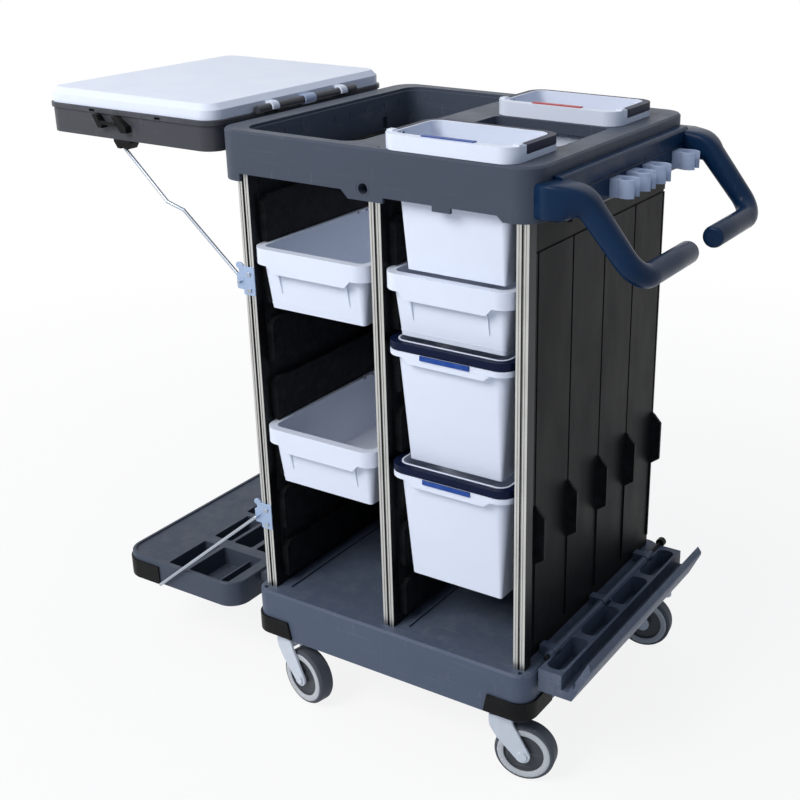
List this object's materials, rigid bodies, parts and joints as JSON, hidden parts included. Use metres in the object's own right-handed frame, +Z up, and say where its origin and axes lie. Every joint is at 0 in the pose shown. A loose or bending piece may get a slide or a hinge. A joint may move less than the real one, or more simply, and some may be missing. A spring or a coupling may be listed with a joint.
{
  "type": "janitor cart",
  "caption": "Two-bay janitor cart with a lidded bag holder, fold-out platform, sliding drawers and buckets, mop clips, split push handle and swivel casters.",
  "frame": {"origin": "on the floor under the middle of the whole cart's length and width", "axes": "+X along the cart toward the push handle, +Y from the open front toward the back wall, +Z up"},
  "size_m": [1.068, 0.5128, 1.0163],
  "materials": {
    "grey_plastic": "fine textured moulded polypropylene",
    "charcoal_plastic": "fine textured moulded panel",
    "frame_plastic": "satin moulded plastic",
    "navy_plastic": "satin moulded plastic",
    "clip_plastic": "satin moulded plastic",
    "white_plastic": "semi-gloss moulded plastic",
    "bail_plastic": "satin moulded plastic",
    "blue_plastic": "semi-gloss moulded plastic",
    "red_plastic": "semi-gloss moulded plastic",
    "sleeve_plastic": "satin moulded plastic",
    "black_plastic": "satin moulded plastic",
    "black_rubber": "matt bumper rubber",
    "post_aluminium": "satin anodised extrusion",
    "zinc_steel": "bright zinc plated",
    "fork_grey": "smooth light grey coat",
    "tyre_rubber": "matt non-marking tread",
    "hub_plastic": "satin moulded wheel centre"
  },
  "bodies": {
    "chassis": {"base_deck": "grey_plastic", "corner_bumpers": "black_rubber", "front_posts": "post_aluminium", "rear_posts": "post_aluminium", "left_panel": "charcoal_plastic", "centre_panel": "charcoal_plastic", "right_panel": "charcoal_plastic", "back_panel": "charcoal_plastic", "panel_rails": "charcoal_plastic", "top_tray": "grey_plastic", "tool_socket": "grey_plastic", "handle_rail": "navy_plastic", "handle_arm_front": "navy_plastic", "handle_arm_rear": "navy_plastic", "handle_knobs": "black_plastic", "mop_clips": "clip_plastic", "mop_tray_pin": "black_plastic", "hinge_pins": "zinc_steel", "strut_brackets": "zinc_steel", "bracket_screws": "zinc_steel", "caster_stems": "zinc_steel"},
    "mop_tray": {"mop_tray": "grey_plastic"},
    "drawer_left_upper": {"drawer_left_upper": "white_plastic"},
    "drawer_left_lower": {"drawer_left_lower": "white_plastic"},
    "drawer_right": {"drawer_right": "white_plastic"},
    "bag_frame": {"bag_frame": "frame_plastic", "frame_grip": "black_plastic", "strut_clip": "black_plastic", "lid_marker": "sleeve_plastic"},
    "bag_lid": {"bag_lid": "white_plastic"},
    "bag_strut": {"bag_strut": "zinc_steel"},
    "bag_platform": {"bag_platform": "grey_plastic", "platform_bumpers": "black_rubber"},
    "platform_stay": {"platform_stay": "zinc_steel"},
    "bucket_tray_front": {"bucket_tray_front": "white_plastic", "clip_tray_front": "blue_plastic"},
    "bail_tray_front": {"bail_tray_front": "bail_plastic"},
    "bucket_tray_rear": {"bucket_tray_rear": "white_plastic", "clip_tray_rear": "red_plastic"},
    "bail_tray_rear": {"bail_tray_rear": "bail_plastic"},
    "bucket_upper": {"bucket_upper": "white_plastic", "clip_upper": "blue_plastic"},
    "bail_upper": {"bail_upper": "bail_plastic"},
    "bucket_lower": {"bucket_lower": "white_plastic", "clip_lower": "blue_plastic"},
    "bail_lower": {"bail_lower": "bail_plastic"},
    "fork_fl": {"caster_fork_fl": "fork_grey"},
    "wheel_fl": {"caster_tyre_fl": "tyre_rubber", "caster_hub_fl": "hub_plastic"},
    "fork_fr": {"caster_fork_fr": "fork_grey"},
    "wheel_fr": {"caster_tyre_fr": "tyre_rubber", "caster_hub_fr": "hub_plastic"},
    "fork_rl": {"caster_fork_rl": "fork_grey"},
    "wheel_rl": {"caster_tyre_rl": "tyre_rubber", "caster_hub_rl": "hub_plastic"},
    "fork_rr": {"caster_fork_rr": "fork_grey"},
    "wheel_rr": {"caster_tyre_rr": "tyre_rubber", "caster_hub_rr": "hub_plastic"},
    "brake_rl": {"brake_pedal_rl": "fork_grey"},
    "brake_rr": {"brake_pedal_rr": "fork_grey"}
  },
  "joints": [
    {"name": "swivel_fl", "type": "hinge", "parent": "chassis", "child": "fork_fl", "pos_m": [-0.0985, -0.224, 0.11], "axis": [0, 0, 1], "continuous": true},
    {"name": "roll_fl", "type": "hinge", "parent": "fork_fl", "child": "wheel_fl", "pos_m": [-0.06231, -0.23169, 0.05], "axis": [0.2079, 0.9781, 0], "continuous": true},
    {"name": "swivel_fr", "type": "hinge", "parent": "chassis", "child": "fork_fr", "pos_m": [0.3255, -0.224, 0.11], "axis": [0, 0, 1], "continuous": true},
    {"name": "roll_fr", "type": "hinge", "parent": "fork_fr", "child": "wheel_fr", "pos_m": [0.36169, -0.21631, 0.05], "axis": [-0.2079, 0.9781, 0], "continuous": true},
    {"name": "swivel_rl", "type": "hinge", "parent": "chassis", "child": "fork_rl", "pos_m": [-0.0985, 0.224, 0.11], "axis": [0, 0, 1], "continuous": true},
    {"name": "roll_rl", "type": "hinge", "parent": "fork_rl", "child": "wheel_rl", "pos_m": [-0.06186, 0.21885, 0.05], "axis": [0.1392, 0.9903, 0], "continuous": true},
    {"name": "brake_rl", "type": "hinge", "parent": "fork_rl", "child": "brake_rl", "pos_m": [-0.07077, 0.2201, 0.1137], "axis": [0.1392, 0.9903, 0], "range_deg": [0, 20]},
    {"name": "swivel_rr", "type": "hinge", "parent": "chassis", "child": "fork_rr", "pos_m": [0.3255, 0.224, 0.11], "axis": [0, 0, 1], "continuous": true},
    {"name": "roll_rr", "type": "hinge", "parent": "fork_rr", "child": "wheel_rr", "pos_m": [0.36194, 0.23042, 0.05], "axis": [-0.1736, 0.9848, 0], "continuous": true},
    {"name": "brake_rr", "type": "hinge", "parent": "fork_rr", "child": "brake_rr", "pos_m": [0.35308, 0.22886, 0.1137], "axis": [-0.1736, 0.9848, 0], "range_deg": [0, 20]},
    {"name": "slide_drawer_left_upper", "type": "slide", "parent": "chassis", "child": "drawer_left_upper", "axis": [0, -1, 0], "range_m": [0, 0.3]},
    {"name": "slide_drawer_left_lower", "type": "slide", "parent": "chassis", "child": "drawer_left_lower", "axis": [0, -1, 0], "range_m": [0, 0.3]},
    {"name": "slide_drawer_right", "type": "slide", "parent": "chassis", "child": "drawer_right", "axis": [0, 1, 0], "range_m": [-0.3, 0]},
    {"name": "slide_bucket_upper", "type": "slide", "parent": "chassis", "child": "bucket_upper", "axis": [0, -1, 0], "range_m": [0, 0.1]},
    {"name": "slide_bucket_lower", "type": "slide", "parent": "chassis", "child": "bucket_lower", "axis": [0, 1, 0], "range_m": [-0.1, 0]},
    {"name": "lift_bucket_tray_front", "type": "slide", "parent": "chassis", "child": "bucket_tray_front", "axis": [0, 0, 1], "range_m": [0, 0.2]},
    {"name": "lift_bucket_tray_rear", "type": "slide", "parent": "chassis", "child": "bucket_tray_rear", "axis": [0, 0, 1], "range_m": [0, 0.2]},
    {"name": "bail_tray_front", "type": "hinge", "parent": "bucket_tray_front", "child": "bail_tray_front", "pos_m": [0.2455, -0.212, 1.0048], "axis": [1, 0, 0], "range_deg": [0, 90]},
    {"name": "bail_tray_rear", "type": "hinge", "parent": "bucket_tray_rear", "child": "bail_tray_rear", "pos_m": [0.2455, 0.093, 1.0048], "axis": [1, 0, 0], "range_deg": [0, 90]},
    {"name": "bail_upper", "type": "hinge", "parent": "bucket_upper", "child": "bail_upper", "pos_m": [0.235, -0.15, 0.70009], "axis": [-1, 0, 0], "range_deg": [0, 5]},
    {"name": "bail_lower", "type": "hinge", "parent": "bucket_lower", "child": "bail_lower", "pos_m": [0.235, -0.15, 0.50094], "axis": [1, 0, 0], "range_deg": [-5, 0]},
    {"name": "fold_bag_frame", "type": "hinge", "parent": "chassis", "child": "bag_frame", "pos_m": [-0.1675, -0.02, 0.95], "axis": [0, -1, 0], "range_deg": [0, 75]},
    {"name": "open_bag_lid", "type": "hinge", "parent": "bag_frame", "child": "bag_lid", "pos_m": [-0.1695, -0.02, 0.997], "axis": [0, 1, 0], "range_deg": [0, 95]},
    {"name": "swing_bag_strut", "type": "hinge", "parent": "chassis", "child": "bag_strut", "pos_m": [-0.1475, -0.229, 0.748], "axis": [0, -1, 0], "range_deg": [0, 110]},
    {"name": "fold_bag_platform", "type": "hinge", "parent": "chassis", "child": "bag_platform", "pos_m": [-0.1765, -0.02, 0.165], "axis": [0, 1, 0], "range_deg": [0, 90]},
    {"name": "swing_platform_stay", "type": "hinge", "parent": "chassis", "child": "platform_stay", "pos_m": [-0.1475, -0.243, 0.338], "axis": [0, 1, 0], "range_deg": [0, 128]},
    {"name": "fold_mop_tray", "type": "hinge", "parent": "chassis", "child": "mop_tray", "pos_m": [0.3835, 0, 0.216], "axis": [0, -1, 0], "range_deg": [0, 85]}
  ],
  "couplings": [
    {"joint": "swing_bag_strut", "follows": "fold_bag_frame", "ratio": 1.42},
    {"joint": "swing_platform_stay", "follows": "fold_bag_platform", "ratio": 1.39}
  ]
}
